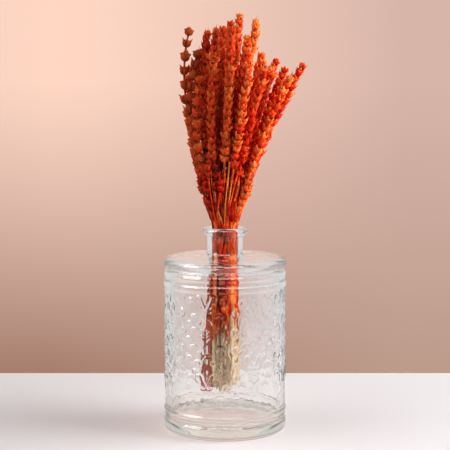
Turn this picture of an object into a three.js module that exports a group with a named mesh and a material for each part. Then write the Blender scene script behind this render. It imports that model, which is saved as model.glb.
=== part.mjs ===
// A bunch of dried ironwort standing in a clear pressed-glass bottle vase.
// Millimetres, +Z up. The origin is the centre of the vase's foot, on the surface it stands on;
// +X is to the right and -Y towards somebody looking at the front.
import * as THREE from "three";

// Vase: a straight cylinder with a flat shoulder, a short neck and a rolled lip.
const FOOT_RADIUS = 50;
const BODY_RADIUS = 49.4;
const WALL = 4;
const FLOOR_HEIGHT = 12;
const HEEL = 4;
const FOOT_BAND_TOP = 10.6;
const LOWER_BEAD_HEIGHT = 18.2;
const LOWER_BEAD_HALF_HEIGHT = 1.9;
const UPPER_BEAD_HEIGHT = 120.8;
const UPPER_BEAD_HALF_HEIGHT = 2.4;
const BEAD_STANDS_OUT = 0.75;
const RIDGE_HEIGHT = 128.4;
const RIDGE_HALF_HEIGHT = 1.8;
const RIDGE_STANDS_OUT = 0.4;
const GROOVE_HEIGHT = 133.9;
const GROOVE_DEPTH = 1.3;
const SHOULDER_BEAD_HEIGHT = 137.8;
const SHOULDER_BEAD_RADIUS = 4.2;
const SHOULDER_TOP = 142;
const NECK_RADIUS = 14.6;
const NECK_BORE = 11.2;
const NECK_FILLET = 3;
const LIP_RADIUS = 18.2;
const LIP_BOTTOM = 160.4;
const LIP_TOP = 166;
const VASE_SIDES = 28;

// Bunch: stems packed in rings inside the neck, which fan out above it and spread a little below it.
const STEMS_IN_RING = [1, 6, 12, 18];
const RING_PHASE_DEG = [0, 0, 15, 0];
const STEM_SPACING = 3.15;
const PACKED_RADIUS = STEM_SPACING * (STEMS_IN_RING.length - 1);
const PINCH_TOP = 163;
const PINCH_BOTTOM = 146;
const STEM_SIDES = 4;

// Above the neck. The fan leans to the right, and its left side curls back towards the middle.
const FAN_CENTRE_X = 12;
const FAN_HALF_WIDTH = 40;
const FAN_HALF_DEPTH = 37;
const FAN_POWER = 1.42;
const CURL_POWER = 3;
const LEFT_CURL = 45;
const DEPTH_CURL = 12;

// Below the neck. The cut ends hang clear of the floor, spread, turned and leaning to the left.
const FOOT_MEAN_HEIGHT = 37;
const FOOT_RAGGEDNESS = 5;
const FOOT_SPREAD = 0.4;
const FOOT_TWIST_DEG = 32;
const FOOT_LEAN_X = -4.5;
const FOOT_POWER = 1.25;

const STEM_RADIUS_FOOT = 1.45;
const STEM_RADIUS_NECK = 1.42;
const STEM_RADIUS_FLOWERING = 0.95;
const STEM_RADIUS_TIP = 0.7;
const FLOWERING_HEIGHT = 205;
const STEM_RING_HEIGHTS = [100, 146, 163, 178, 198, 222];

// A whorl: a cup of calyces round the square stem, with one pointed tooth for each stem side. Whorls
// stand apart on the leftmost stem, touch each other on its neighbours, and elsewhere each sits in
// the mouth of the one below it. A pitch is a share of a whorl's height.
const WHORL_RADIUS = 4.3;
const CLOSE_WHORL_RADIUS = 4.2;
const WHORL_HEIGHT_TO_RADIUS = 2.1;
const LEAST_HEIGHT_SHARE = 0.8;
const SPACED_LEFT_OF = -0.7;
const LEFTMOST_FROM = -0.95;
const LEFTMOST_PITCH = 1.28;
const SPACED_PITCH = 1.0;
const CLOSE_PITCH = 0.68;
const BULGE_AT = 0.5;
const BULGE_RADIUS_SHARE = 0.93;
const CUP_FLOOR_AT = 0.45;
const TIP_BUD_AT = 1.05;
const CLEARANCE = 0.35;
const CROWDED_SHARE = 0.52;
const TAPER_FROM_TIP = [0.74, 0.9];

// Each spike: the height of its tip, and the height above which it flowers, ring by ring, counted
// anticlockwise from the right. An optional third value moves its tip outwards, in millimetres.
const SPIKES = [
  [[338, 240]],
  [
    [334, 240],
    [312, 242],
    [333, 240],
    [328, 244],
    [327, 240],
    [316, 240],
  ],
  [
    [297, 222],
    [308, 228],
    [322, 230],
    [330, 230],
    [328, 228],
    [325, 222],
    [306, 220],
    [312, 232],
    [318, 236],
    [308, 234],
    [300, 230],
    [292, 222],
  ],
  [
    [299, 200, 12],
    [296, 212],
    [303, 222],
    [303, 222],
    [314, 226],
    [320, 228],
    [315, 220],
    [311, 212],
    [297, 205],
    [327, 197],
    [309, 204, -5],
    [288, 210],
    [304, 224],
    [296, 232],
    [289, 228],
    [296, 222],
    [207, 178],
    [289, 206, 3],
  ],
];
const SHORT_SPIKE_BELOW = 220;
const SHORT_SPIKE_REACH = 27;

// A repeatable number from 0 to 1 for item a of spike i.
function chance(i, a) {
  const v = Math.sin(i * 127.1 + a * 311.7 + 74.7) * 43758.5453;
  return v - Math.floor(v);
}

function arc(cx, cz, radius, fromDeg, toDeg, steps) {
  return Array.from({ length: steps + 1 }, (_, i) => {
    const a = THREE.MathUtils.degToRad(fromDeg + ((toDeg - fromDeg) * i) / steps);
    return new THREE.Vector2(cx + radius * Math.cos(a), cz + radius * Math.sin(a));
  });
}

// The vase's section, from the centre of its foot, up its outside, over the lip and down its inside.
function vaseProfile() {
  const p = (r, z) => new THREE.Vector2(r, z);
  const bead = (z, halfHeight, standsOut) => [
    p(BODY_RADIUS, z - halfHeight),
    p(BODY_RADIUS + standsOut, z - 0.35 * halfHeight),
    p(BODY_RADIUS + standsOut, z + 0.35 * halfHeight),
    p(BODY_RADIUS, z + halfHeight),
  ];
  const inner = BODY_RADIUS - WALL;
  const shoulderUnder = SHOULDER_TOP - WALL;
  const innerCorner = 5;
  return [
    p(0, 0),
    ...arc(FOOT_RADIUS - HEEL, HEEL, HEEL, -90, 0, 2),
    p(FOOT_RADIUS, FOOT_BAND_TOP - 1),
    p(BODY_RADIUS - 0.4, FOOT_BAND_TOP),
    ...bead(LOWER_BEAD_HEIGHT, LOWER_BEAD_HALF_HEIGHT, BEAD_STANDS_OUT),
    ...bead(UPPER_BEAD_HEIGHT, UPPER_BEAD_HALF_HEIGHT, BEAD_STANDS_OUT),
    ...bead(RIDGE_HEIGHT, RIDGE_HALF_HEIGHT, RIDGE_STANDS_OUT),
    p(BODY_RADIUS, GROOVE_HEIGHT - 1.5),
    p(BODY_RADIUS - GROOVE_DEPTH, GROOVE_HEIGHT),
    ...arc(FOOT_RADIUS - SHOULDER_BEAD_RADIUS, SHOULDER_BEAD_HEIGHT, SHOULDER_BEAD_RADIUS, -40, 85, 3),
    p(FOOT_RADIUS - 2 * SHOULDER_BEAD_RADIUS, SHOULDER_TOP),
    ...arc(NECK_RADIUS + NECK_FILLET, SHOULDER_TOP + NECK_FILLET, NECK_FILLET, -90, -180, 2),
    p(NECK_RADIUS, LIP_BOTTOM - 1.5),
    p(LIP_RADIUS - 1.4, LIP_BOTTOM),
    p(LIP_RADIUS, (LIP_BOTTOM + LIP_TOP) / 2),
    p(LIP_RADIUS - 1.6, LIP_TOP - 0.6),
    p(LIP_RADIUS - 3.6, LIP_TOP),
    p(NECK_BORE + 1.4, LIP_TOP - 0.8),
    p(NECK_BORE, LIP_TOP - 2.8),
    p(NECK_BORE, SHOULDER_TOP + 0.5),
    p(NECK_BORE + 3, shoulderUnder),
    ...arc(inner - innerCorner, shoulderUnder - innerCorner, innerCorner, 90, 0, 2),
    ...arc(inner - innerCorner, FLOOR_HEIGHT + innerCorner, innerCorner, 0, -90, 2),
    p(0, FLOOR_HEIGHT),
  ];
}

function makeVase(material) {
  const turned = new THREE.LatheGeometry(vaseProfile(), VASE_SIDES);
  // LatheGeometry turns about Y, and here the axis is Z.
  turned.rotateX(Math.PI / 2);
  const vase = new THREE.Mesh(turned, material);
  vase.name = "vase";
  return vase;
}

// The bunch's rule of placing: each stem keeps its own place in the packed disc, so none cross.
function placeSpikes() {
  const placed = [];
  SPIKES.forEach((ring, ringIndex) => {
    ring.forEach(([tipHeight, floweringFrom, reach = 0], j) => {
      const turn = THREE.MathUtils.degToRad((360 * j) / ring.length + RING_PHASE_DEG[ringIndex]);
      const out = ringIndex / (SPIKES.length - 1);
      const u = new THREE.Vector2(Math.cos(turn), Math.sin(turn)).multiplyScalar(out);
      const tip = new THREE.Vector2(FAN_CENTRE_X + FAN_HALF_WIDTH * u.x, FAN_HALF_DEPTH * u.y);
      tip.addScaledVector(u, reach);
      if (tipHeight < SHORT_SPIKE_BELOW) tip.copy(u).multiplyScalar(SHORT_SPIKE_REACH);
      const curlsBack = tipHeight < SHORT_SPIKE_BELOW ? 0 : 1;
      placed.push({
        index: placed.length,
        tipHeight,
        floweringFrom,
        spaced: u.x < SPACED_LEFT_OF,
        leftmost: u.x < LEFTMOST_FROM,
        tip,
        neck: u.clone().multiplyScalar(PACKED_RADIUS),
        curl: new THREE.Vector2(-LEFT_CURL * Math.max(0, -u.x) ** 1.5, DEPTH_CURL * u.y).multiplyScalar(curlsBack),
        foot: FOOT_MEAN_HEIGHT + FOOT_RAGGEDNESS * (2 * chance(placed.length, 1) - 1),
      });
    });
  });
  return placed;
}

// The middle of a stem at a height.
function centreAt(spike, z) {
  if (z >= PINCH_TOP) {
    const t = (z - PINCH_TOP) / (spike.tipHeight - PINCH_TOP);
    const out = t ** FAN_POWER;
    const back = t ** CURL_POWER;
    const at = (neck, tip, curl) => neck + (tip - neck + curl) * out - curl * back;
    return new THREE.Vector3(
      at(spike.neck.x, spike.tip.x, spike.curl.x),
      at(spike.neck.y, spike.tip.y, spike.curl.y),
      z,
    );
  }
  const t = Math.max(0, (PINCH_BOTTOM - z) / (PINCH_BOTTOM - FOOT_MEAN_HEIGHT)) ** FOOT_POWER;
  const spread = spike.neck.clone().multiplyScalar(1 + FOOT_SPREAD * t);
  spread.rotateAround(new THREE.Vector2(), THREE.MathUtils.degToRad(FOOT_TWIST_DEG) * t);
  return new THREE.Vector3(spread.x + FOOT_LEAN_X * t, spread.y, z);
}

function stemRadiusAt(spike, z) {
  const mix = THREE.MathUtils.mapLinear;
  if (z < PINCH_BOTTOM) return mix(z, FOOT_MEAN_HEIGHT, PINCH_BOTTOM, STEM_RADIUS_FOOT, STEM_RADIUS_NECK);
  if (z < PINCH_TOP) return STEM_RADIUS_NECK;
  if (z < FLOWERING_HEIGHT) {
    return mix(z, PINCH_TOP, FLOWERING_HEIGHT, STEM_RADIUS_NECK, STEM_RADIUS_FLOWERING);
  }
  return mix(z, FLOWERING_HEIGHT, 340, STEM_RADIUS_FLOWERING, STEM_RADIUS_TIP);
}

// The widest that a whorl can be at a height and stay clear of every other spike.
function roomAt(spike, others, z) {
  const here = centreAt(spike, z);
  let room = WHORL_RADIUS;
  for (const other of others) {
    if (other === spike || z > other.tipHeight + 2) continue;
    const away = here.distanceTo(centreAt(other, Math.min(z, other.tipHeight)));
    const flowers = z > other.floweringFrom - 6;
    const free = flowers ? away * CROWDED_SHARE : away - stemRadiusAt(other, z);
    room = Math.min(room, free - CLEARANCE);
  }
  return room;
}

// The whorls of a spike from the lowest to the highest: base height, radius and height of each.
function whorlsOf(spike, others) {
  const whorls = [];
  const widest = spike.spaced ? WHORL_RADIUS : CLOSE_WHORL_RADIUS;
  const spacedPitch = spike.leftmost ? LEFTMOST_PITCH : SPACED_PITCH;
  const pitch = spike.spaced ? spacedPitch : CLOSE_PITCH;
  let top = spike.tipHeight;
  for (let n = 0; top > spike.floweringFrom; n++) {
    const taper = TAPER_FROM_TIP[n] ?? 1;
    const size = taper * (0.92 + 0.16 * chance(spike.index, 10 + n));
    const middle = top - 0.5 * WHORL_RADIUS * WHORL_HEIGHT_TO_RADIUS;
    const radius = Math.min(widest * size, roomAt(spike, others, middle));
    const height = Math.max(radius, LEAST_HEIGHT_SHARE * widest * taper) * WHORL_HEIGHT_TO_RADIUS;
    whorls.unshift({ base: top - height, radius, height });
    top -= height * pitch;
  }
  return whorls;
}

// Builds one closed skin: stem, whorl, stem, whorl and so on, up to the bud at the tip.
function spikeGeometry(spike, others) {
  const points = [];
  const faces = [];
  const step = (2 * Math.PI) / STEM_SIDES;
  const next = (k) => (k + 1) % STEM_SIDES;

  function ring(z, radius, turn) {
    const centre = centreAt(spike, z);
    const along = centreAt(spike, z + 1).sub(centreAt(spike, z - 1)).normalize();
    const across = new THREE.Vector3(1, 0, 0).addScaledVector(along, -along.x).normalize();
    const deep = along.clone().cross(across);
    const first = points.length;
    for (let k = 0; k < STEM_SIDES; k++) {
      const a = turn + k * step;
      points.push(
        centre
          .clone()
          .addScaledVector(across, radius * Math.cos(a))
          .addScaledVector(deep, radius * Math.sin(a)),
      );
    }
    return first;
  }
  function wall(low, high) {
    for (let k = 0; k < STEM_SIDES; k++) {
      faces.push(low + k, low + next(k), high + next(k), low + k, high + next(k), high + k);
    }
  }

  let turn = 2 * Math.PI * chance(spike.index, 2);
  let last = ring(spike.foot, stemRadiusAt(spike, spike.foot), turn);
  for (let k = 1; k < STEM_SIDES - 1; k++) faces.push(last, last + k + 1, last + k);

  const whorls = whorlsOf(spike, others);
  for (const z of STEM_RING_HEIGHTS) {
    if (z > whorls[0].base - 3) break;
    const higher = ring(z, stemRadiusAt(spike, z), turn);
    wall(last, higher);
    last = higher;
  }
  for (const { base, radius, height } of whorls) {
    turn += step / 2;
    if (spike.spaced || base === whorls[0].base) {
      const neck = ring(base, stemRadiusAt(spike, base), turn);
      wall(last, neck);
      last = neck;
    }
    const bulge = ring(base + BULGE_AT * height, BULGE_RADIUS_SHARE * radius, turn);
    const teeth = ring(base + height, radius, turn + step / 2);
    const floorHeight = base + CUP_FLOOR_AT * height;
    const cupFloor = ring(floorHeight, stemRadiusAt(spike, floorHeight), turn);
    wall(last, bulge);
    for (let k = 0; k < STEM_SIDES; k++) {
      const n = next(k);
      faces.push(bulge + k, bulge + n, teeth + k);
      faces.push(bulge + k, teeth + k, cupFloor + k);
      faces.push(teeth + k, cupFloor + n, cupFloor + k);
      faces.push(teeth + k, bulge + n, cupFloor + n);
    }
    last = cupFloor;
  }
  const highest = whorls[whorls.length - 1];
  const bud = points.length;
  points.push(centreAt(spike, highest.base + TIP_BUD_AT * highest.height));
  for (let k = 0; k < STEM_SIDES; k++) faces.push(last + k, last + next(k), bud);

  return new THREE.BufferGeometry().setFromPoints(points).setIndex(faces);
}

const glass = new THREE.MeshStandardMaterial({ color: 0xe4edea, roughness: 0.05, metalness: 0 });
const dyedPlant = new THREE.MeshStandardMaterial({ color: 0xc8481c, roughness: 0.85, metalness: 0 });

const arrangement = new THREE.Group();
arrangement.add(makeVase(glass));
const spikes = placeSpikes();
for (const spike of spikes) {
  const mesh = new THREE.Mesh(spikeGeometry(spike, spikes), dyedPlant);
  mesh.name = `ironwort_spike_${String(spike.index + 1).padStart(2, "0")}`;
  arrangement.add(mesh);
}

export default arrangement;
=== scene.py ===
import math

import bmesh
import bpy
import numpy as np
from mathutils import Matrix, Vector


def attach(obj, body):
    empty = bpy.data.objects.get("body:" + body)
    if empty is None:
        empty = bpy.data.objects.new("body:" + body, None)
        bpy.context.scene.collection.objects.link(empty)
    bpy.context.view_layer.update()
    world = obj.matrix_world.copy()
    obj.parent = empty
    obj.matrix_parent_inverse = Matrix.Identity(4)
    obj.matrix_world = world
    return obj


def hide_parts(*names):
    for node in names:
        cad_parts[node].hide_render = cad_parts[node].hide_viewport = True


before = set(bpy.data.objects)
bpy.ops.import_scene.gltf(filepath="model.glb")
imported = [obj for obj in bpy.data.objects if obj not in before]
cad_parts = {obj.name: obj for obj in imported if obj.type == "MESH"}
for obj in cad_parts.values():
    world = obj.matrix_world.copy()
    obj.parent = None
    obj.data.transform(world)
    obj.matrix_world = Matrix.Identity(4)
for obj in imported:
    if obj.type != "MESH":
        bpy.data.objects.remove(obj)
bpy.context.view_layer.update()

# The view: from a metre in front of the vase and a little above its flowers' middle, tilted down
# a few degrees. Sizes in this file are in millimetres, and MM makes them Blender's metres.
MM = 0.001
CAMERA_DISTANCE = 1048 * MM
CAMERA_HEIGHT = 273.5 * MM
CAMERA_TILT_DEG = 5.77
CAMERA_LENS = 103.6

camera_data = bpy.data.cameras.new("camera")
camera_data.lens = CAMERA_LENS
camera_data.sensor_width = 36
camera = bpy.data.objects.new("camera", camera_data)
camera.location = (0, -CAMERA_DISTANCE, CAMERA_HEIGHT)
camera.rotation_euler = (math.radians(90 - CAMERA_TILT_DEG), 0, 0)
bpy.context.collection.objects.link(camera)
bpy.context.scene.camera = camera

# The table top: a pale board with a straight back edge, a hand's breadth behind the vase.
# It is painted nearly matt. It isn't part of the object.
TABLE_BACK = 207 * MM
TABLE_FRONT = -450 * MM
TABLE_HALF_WIDTH = 450 * MM
TABLE_THICKNESS = 30 * MM
TABLE_PAINT = (0.72, 0.71, 0.73)
TABLE_ROUGHNESS = 0.42
TABLE_SHINE = 0.04


class Wire:
    """An output of a shader node. Python's operators on it add Math nodes."""

    def __init__(self, tree, socket):
        self.tree = tree
        self.socket = socket

    def maths(self, operation, *values):
        node = self.tree.nodes.new("ShaderNodeMath")
        node.operation = operation
        for slot, value in zip(node.inputs, values):
            plug(self.tree, slot, value)
        return Wire(self.tree, node.outputs[0])

    def __add__(self, other):
        return self.maths("ADD", self, other)

    def __sub__(self, other):
        return self.maths("SUBTRACT", self, other)

    def __rsub__(self, other):
        return self.maths("SUBTRACT", other, self)

    def __mul__(self, other):
        return self.maths("MULTIPLY", self, other)

    def __truediv__(self, other):
        return self.maths("DIVIDE", self, other)

    def __pow__(self, other):
        return self.maths("POWER", self, other)

    __radd__ = __add__
    __rmul__ = __mul__

    def held(self):
        """The value, kept from 0 to 1."""
        return self.maths("MINIMUM", self.maths("MAXIMUM", self, 0.0), 1.0)

    def rise(self, start, end):
        """0 at start and 1 at end, and held beyond both."""
        return ((self - start) / (end - start)).held()


def plug(tree, slot, value):
    if isinstance(value, Wire):
        tree.links.new(value.socket, slot)
    elif isinstance(value, tuple) and slot.type == "RGBA":
        slot.default_value = (*value, 1)
    else:
        slot.default_value = value


class Finish:
    """The nodes of a material, or of the room's light."""

    def __init__(self, owner):
        self.owner = owner
        self.owner.use_nodes = True
        self.tree = self.owner.node_tree
        self.tree.nodes.clear()

    def node(self, kind, settings=None, sockets=None, output=0):
        """Any node: its settings first (a ramp's stops among them), then its sockets."""
        made = self.tree.nodes.new("ShaderNode" + kind)
        for name, value in (settings or {}).items():
            if name == "stops":
                while len(made.color_ramp.elements) < len(value):
                    made.color_ramp.elements.new(1)
                for stop, (place, colour) in zip(made.color_ramp.elements, value):
                    stop.position = place
                    stop.color = (*colour, 1)
            else:
                setattr(made, name, value)
        for name, value in (sockets or {}).items():
            plug(self.tree, made.inputs[name], value)
        return Wire(self.tree, made.outputs[output])

    def mix(self, share, first, second):
        """A colour between two, by share."""
        node = self.tree.nodes.new("ShaderNodeMix")
        node.data_type = "RGBA"
        plug(self.tree, node.inputs[0], share)
        plug(self.tree, node.inputs[6], first)
        plug(self.tree, node.inputs[7], second)
        return Wire(self.tree, node.outputs[2])

    def show(self, shader, depth=None, kind="Material"):
        out = self.tree.nodes.new("ShaderNodeOutput" + kind)
        plug(self.tree, out.inputs["Surface"], shader)
        if depth is not None:
            plug(self.tree, out.inputs["Volume"], depth)
        return self.owner


def clear_selection():
    if bpy.context.mode != "OBJECT":
        bpy.ops.object.mode_set(mode="OBJECT")
    bpy.ops.object.select_all(action="DESELECT")


def settled(piece):
    """Moves a piece's place into its mesh, so that its object sits at the origin."""
    clear_selection()
    bpy.context.view_layer.objects.active = piece
    piece.select_set(True)
    bpy.ops.object.transform_apply(location=True, rotation=True, scale=True)
    piece.select_set(False)
    return piece


clear_selection()
bpy.ops.mesh.primitive_cube_add(size=1)
table = bpy.context.object
table.name = "table_top"
table.dimensions = (2 * TABLE_HALF_WIDTH, TABLE_BACK - TABLE_FRONT, TABLE_THICKNESS)
table.location = (0, (TABLE_BACK + TABLE_FRONT) / 2, -TABLE_THICKNESS / 2)
settled(table)
table_paint = Finish(bpy.data.materials.new("pale_matt_paint"))
nearly_matt = {"Base Color": TABLE_PAINT, "Roughness": TABLE_ROUGHNESS, "Specular IOR Level": TABLE_SHINE}
table.data.materials.append(table_paint.show(table_paint.node("BsdfPrincipled", None, nearly_matt)))

# The backdrop: a plain matt wall well behind the table, with a soft painted pool of light high on its left
# and painted dusk low down. It glows by itself, so the studio lamps don't have to reach it. It is paler
# behind the glass, a painted haze where a lens would blur the far wall's lace.
WALL_DISTANCE = 1500 * MM
WALL_HALF_WIDTH = 460 * MM
WALL_HEIGHT = 960 * MM
WALL_BOTTOM = -400 * MM
WALL_DUSK_LEFT = (0.364, 0.19, 0.135)
WALL_DUSK_RIGHT = (0.50, 0.32, 0.25)
WALL_ROSE = (0.625, 0.425, 0.37)
WALL_PEACH = (1.0, 0.68, 0.55)
WALL_THROUGH_GLASS = (1.0, 0.94, 0.98)
THROUGH_GLASS_SHARE = 0.34
THROUGH_GLASS_RIGHT = 0.12
RIGHT_HAZE_FROM = 60 * MM
RIGHT_HAZE_FULL = 110 * MM
ROSE_FROM = -320 * MM
ROSE_FULL = 300 * MM
GLOW_REACH = 350 * MM
FAR_LEFT_FROM = -250 * MM
FAR_LEFT_FULL = -450 * MM
FAR_LEFT_DIMMING = 0.2
GLOW_POWER = 1.6
GLOW_EVERYWHERE = 0.15
GLOW_LEFT = 0.95

clear_selection()
bpy.ops.mesh.primitive_plane_add(size=1)
wall = bpy.context.object
wall.name = "backdrop"
wall.dimensions = (2 * WALL_HALF_WIDTH, WALL_HEIGHT, 0)
wall.rotation_euler = (math.radians(90), 0, 0)
wall.location = (0, WALL_DISTANCE, WALL_HEIGHT / 2 + WALL_BOTTOM)
settled(wall)
wall_light = Finish(bpy.data.materials.new("painted_wall_light"))
where = wall_light.node("TexCoord", output="Object")
across = wall_light.node("SeparateXYZ", None, {"Vector": where}, output="X")
up = wall_light.node("SeparateXYZ", None, {"Vector": where}, output="Z")
# Painted light and shade: dusk low down, and a pool of light high on the left.
rising = up.rise(ROSE_FROM, ROSE_FULL)
leftward = across.rise(GLOW_REACH, -GLOW_REACH)
dusk = wall_light.mix(leftward, WALL_DUSK_RIGHT, WALL_DUSK_LEFT)
dusk_to_rose = wall_light.mix(rising, dusk, WALL_ROSE)
leftward = leftward * (1 - across.rise(FAR_LEFT_FROM, FAR_LEFT_FULL) * FAR_LEFT_DIMMING)
pool = (rising**GLOW_POWER * (GLOW_EVERYWHERE + GLOW_LEFT * leftward)).held()
glow = wall_light.mix(pool, dusk_to_rose, WALL_PEACH)
# A painted haze: the wall is paler where it is seen through the glass.
behind_glass = wall_light.node("LightPath", output="Is Transmission Ray")
haze = THROUGH_GLASS_SHARE + across.rise(RIGHT_HAZE_FROM, RIGHT_HAZE_FULL) * THROUGH_GLASS_RIGHT
glow = wall_light.mix(behind_glass * haze, glow, WALL_THROUGH_GLASS)
wall.data.materials.append(wall_light.show(wall_light.node("Emission", None, {"Color": glow, "Strength": 1.0})))

# Light: a window-like softbox on the right, a wide weak one high on the left, a long one above the
# viewer that only shows as thin lines on the glass, and a pale room round them, which is dark
# straight behind the viewer and dimmer on matt things than in the glass. The gleams of the window and
# of a smaller one on the left are lamps of their own, so that they draw thin lines on the glass.
WINDOW_COLOUR = (1.0, 0.97, 0.95)
FILL_COLOUR = (1.0, 0.92, 0.88)
LAMPS_AIM_AT = Vector((5, 0, 170)) * MM
LAMPS = [
    # name, place, width, height, watts, colour, lights matt things, is mirrored in glass
    ("window_light", (1085, -190, 520), 950, 1070, 30.0, WINDOW_COLOUR, True, False),
    ("window_gleam", (1085, -190, 520), 950, 380, 17.0, WINDOW_COLOUR, False, True),
    ("left_gleam", (-1000, -450, 600), 800, 800, 18.0, WINDOW_COLOUR, False, True),
    ("fill_light", (-950, -300, 920), 1200, 1200, 11.2, FILL_COLOUR, True, True),
    ("ceiling_light", (0, -1100, 1000), 1700, 900, 30.0, WINDOW_COLOUR, False, True),
]
ROOM_COLOUR = (0.94, 0.96, 0.98)
ROOM_IN_GLASS = 0.74
ROOM_ON_MATT = 0.17
VIEWER_SIDE_SHARE = 0.06
VIEWER_SIDE_FROM = 0.0
VIEWER_SIDE_FULL = 0.5
LIGHT_BOUNCES = 24

for name, place, width, height, watts, colour, lights_matt, is_mirrored in LAMPS:
    light = bpy.data.lights.new(name, "AREA")
    light.shape = "RECTANGLE"
    light.size = width * MM
    light.size_y = height * MM
    light.energy = watts
    light.color = colour
    lamp = bpy.data.objects.new(name, light)
    lamp.location = Vector(place) * MM
    lamp.rotation_euler = (LAMPS_AIM_AT - lamp.location).to_track_quat("-Z", "Y").to_euler()
    lamp.visible_camera = False
    lamp.visible_transmission = False
    lamp.visible_diffuse = lights_matt
    lamp.visible_glossy = is_mirrored
    bpy.context.collection.objects.link(lamp)

room = Finish(bpy.data.worlds.new("room"))
on_matt = room.node("LightPath", output="Diffuse Depth").held()
way = room.node("TexCoord", output="Generated")
toward_viewer = 0 - room.node("SeparateXYZ", None, {"Vector": way}, output="Y")
viewer_side = toward_viewer.rise(VIEWER_SIDE_FROM, VIEWER_SIDE_FULL)
seen_in_glass = (1 - viewer_side * (1 - VIEWER_SIDE_SHARE)) * ROOM_IN_GLASS
strength = seen_in_glass + on_matt * (ROOM_ON_MATT - seen_in_glass)
room_light = room.node("Background", None, {"Color": ROOM_COLOUR, "Strength": strength})
bpy.context.scene.world = room.show(room_light, kind="World")
bpy.context.scene.view_settings.view_transform = "Standard"

# Light runs a long way inside the vase's thick edges before it comes out. The vase doesn't throw the
# lamps' reflections on the table.
bpy.context.scene.cycles.caustics_reflective = False
bpy.context.scene.cycles.max_bounces = LIGHT_BOUNCES
bpy.context.scene.cycles.transmission_bounces = LIGHT_BOUNCES
bpy.context.scene.cycles.glossy_bounces = LIGHT_BOUNCES

# The vase: one piece of clear glass, pressed in a mould. Its wall carries a low lace of curling
# leaves between two raised bands, and its foot, shoulder, neck and lip are turned smooth.
VASE_SIDES = 400
BODY_RADIUS = 49.4
FOOT_RADIUS = 50.0
WALL_THICKNESS = 4.0
INNER_RADIUS = BODY_RADIUS - WALL_THICKNESS
INNER_FLOOR = 12.0
SHOULDER_HEIGHT = 142.0
NECK_RADIUS = 14.6
NECK_BORE = 11.2
LIP_TOP = 166.0
LIP_RADIUS = 18.2
PUNT = (2.0, 1.0)
LACE_BOTTOM = 20.6
LACE_TOP = 118.0
LACE_RINGS = 110
SAME_HEIGHT = 1e-5


def arc(out, height, radius, from_deg, to_deg, steps=6, squash=1.0):
    """Points of part of a round, each as (distance out, height). Squash makes it lower than wide."""
    points = []
    for i in range(steps + 1):
        a = math.radians(from_deg + (to_deg - from_deg) * i / steps)
        points.append((out + radius * math.cos(a), height + squash * radius * math.sin(a)))
    return points


def stepped(radius, *steps):
    """Points that stand a little out or in from one radius, each at its own height."""
    return [(radius + out, height) for out, height in steps]


def turned_bead(height, stands_out, half_height, steps=6, flatness=0.8):
    """A low round band on the body's wall. A lower flatness gives it a flatter face."""
    points = []
    for i in range(steps + 1):
        across_band = 2 * i / steps - 1
        swell = stands_out * math.cos(across_band * math.pi / 2) ** flatness
        points.append((BODY_RADIUS + swell, height + half_height * across_band))
    return points


outside_low = [
    (30.0, 0.6),
    (38.0, 0.2),
    (43.0, 0.0),
    *arc(FOOT_RADIUS - 4.6, 4.6, 4.6, -75, 0, 7),
    *stepped(FOOT_RADIUS, (0, 6.0), (-0.1, 9.4), (-0.5, 10.6)),
    *stepped(BODY_RADIUS, (-0.5, 11.4), (-0.5, 12.2), (0.1, 13.4), (0.2, 14.4), (-0.2, 15.4), (-0.2, 16.0)),
    *turned_bead(18.2, 0.75, 1.9),
]
outside_high = [
    *turned_bead(120.8, 0.7, 2.5, 12, 0.4),
    *stepped(
        BODY_RADIUS,
        (-0.1, 123.7), (-0.1, 126.4), (0, 126.9), (0.35, 127.8), (0.4, 128.4), (0.3, 129.3), (0, 130.5),
        (-0.3, 131.2), (-0.35, 131.7), (-0.1, 132.2), (-0.15, 132.7), (-0.8, 133.2), (-1.3, 133.9),
        (-1.2, 134.5),
    ),
    *arc(FOOT_RADIUS - 4.2, 137.8, 4.2, -40, 90, 12),
    (41.0, SHOULDER_HEIGHT + 0.05),
    (32.0, SHOULDER_HEIGHT + 0.2),
    (22.0, SHOULDER_HEIGHT + 0.4),
    *arc(NECK_RADIUS + 3.4, SHOULDER_HEIGHT + 3.9, 3.4, -90, -180, 7),
    *stepped(NECK_RADIUS, (-0.1, 151.0), (0, 157.6), (0.5, 159.2), (1.6, 160.2)),
    *arc(LIP_RADIUS - 2.7, 163.1, 2.7, -60, 90, 12),
    (LIP_RADIUS - 4.6, LIP_TOP - 0.5),
    *stepped(NECK_BORE, (0.9, LIP_TOP - 1.6), (0.2, LIP_TOP - 3.6), (0, 155.0), (0.1, 146.0)),
    *arc(NECK_BORE + 4.6, 142.2, 4.4, 180, 250, 5),
    (24.0, SHOULDER_HEIGHT - WALL_THICKNESS),
    (34.0, SHOULDER_HEIGHT - WALL_THICKNESS - 0.1),
    *arc(INNER_RADIUS - 6, 131.6, 6, 85, 0, 7),
    *stepped(
        INNER_RADIUS,
        (0, 131.0), (0, 129.8), (0, 126.0), (0, 110.0), (-0.1, 90.0), (0, 70.0), (-0.1, 50.0), (-0.2, 32.0),
        (-0.3, 21.0), (-0.38, 19.0),
    ),
    *arc(INNER_RADIUS - 4.0, INNER_FLOOR + 3.6, 3.6, 0, -82, 7),
    (30.0, INNER_FLOOR - 0.2),
    (15.0, INNER_FLOOR - 0.4),
    (2.0, INNER_FLOOR - 0.5),
]


def add_ring(from_ring, to_ring, unit=MM):
    """Extrudes what is selected to a new radius and height, on the upright axis."""
    lift = (to_ring[1] - from_ring[1]) * unit
    bpy.ops.mesh.extrude_region_move(TRANSFORM_OT_translate={"value": (0, 0, lift)})
    share = to_ring[0] / from_ring[0]
    bpy.ops.transform.resize(value=(share, share, 1), center_override=(0, 0, to_ring[1] * unit))


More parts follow.
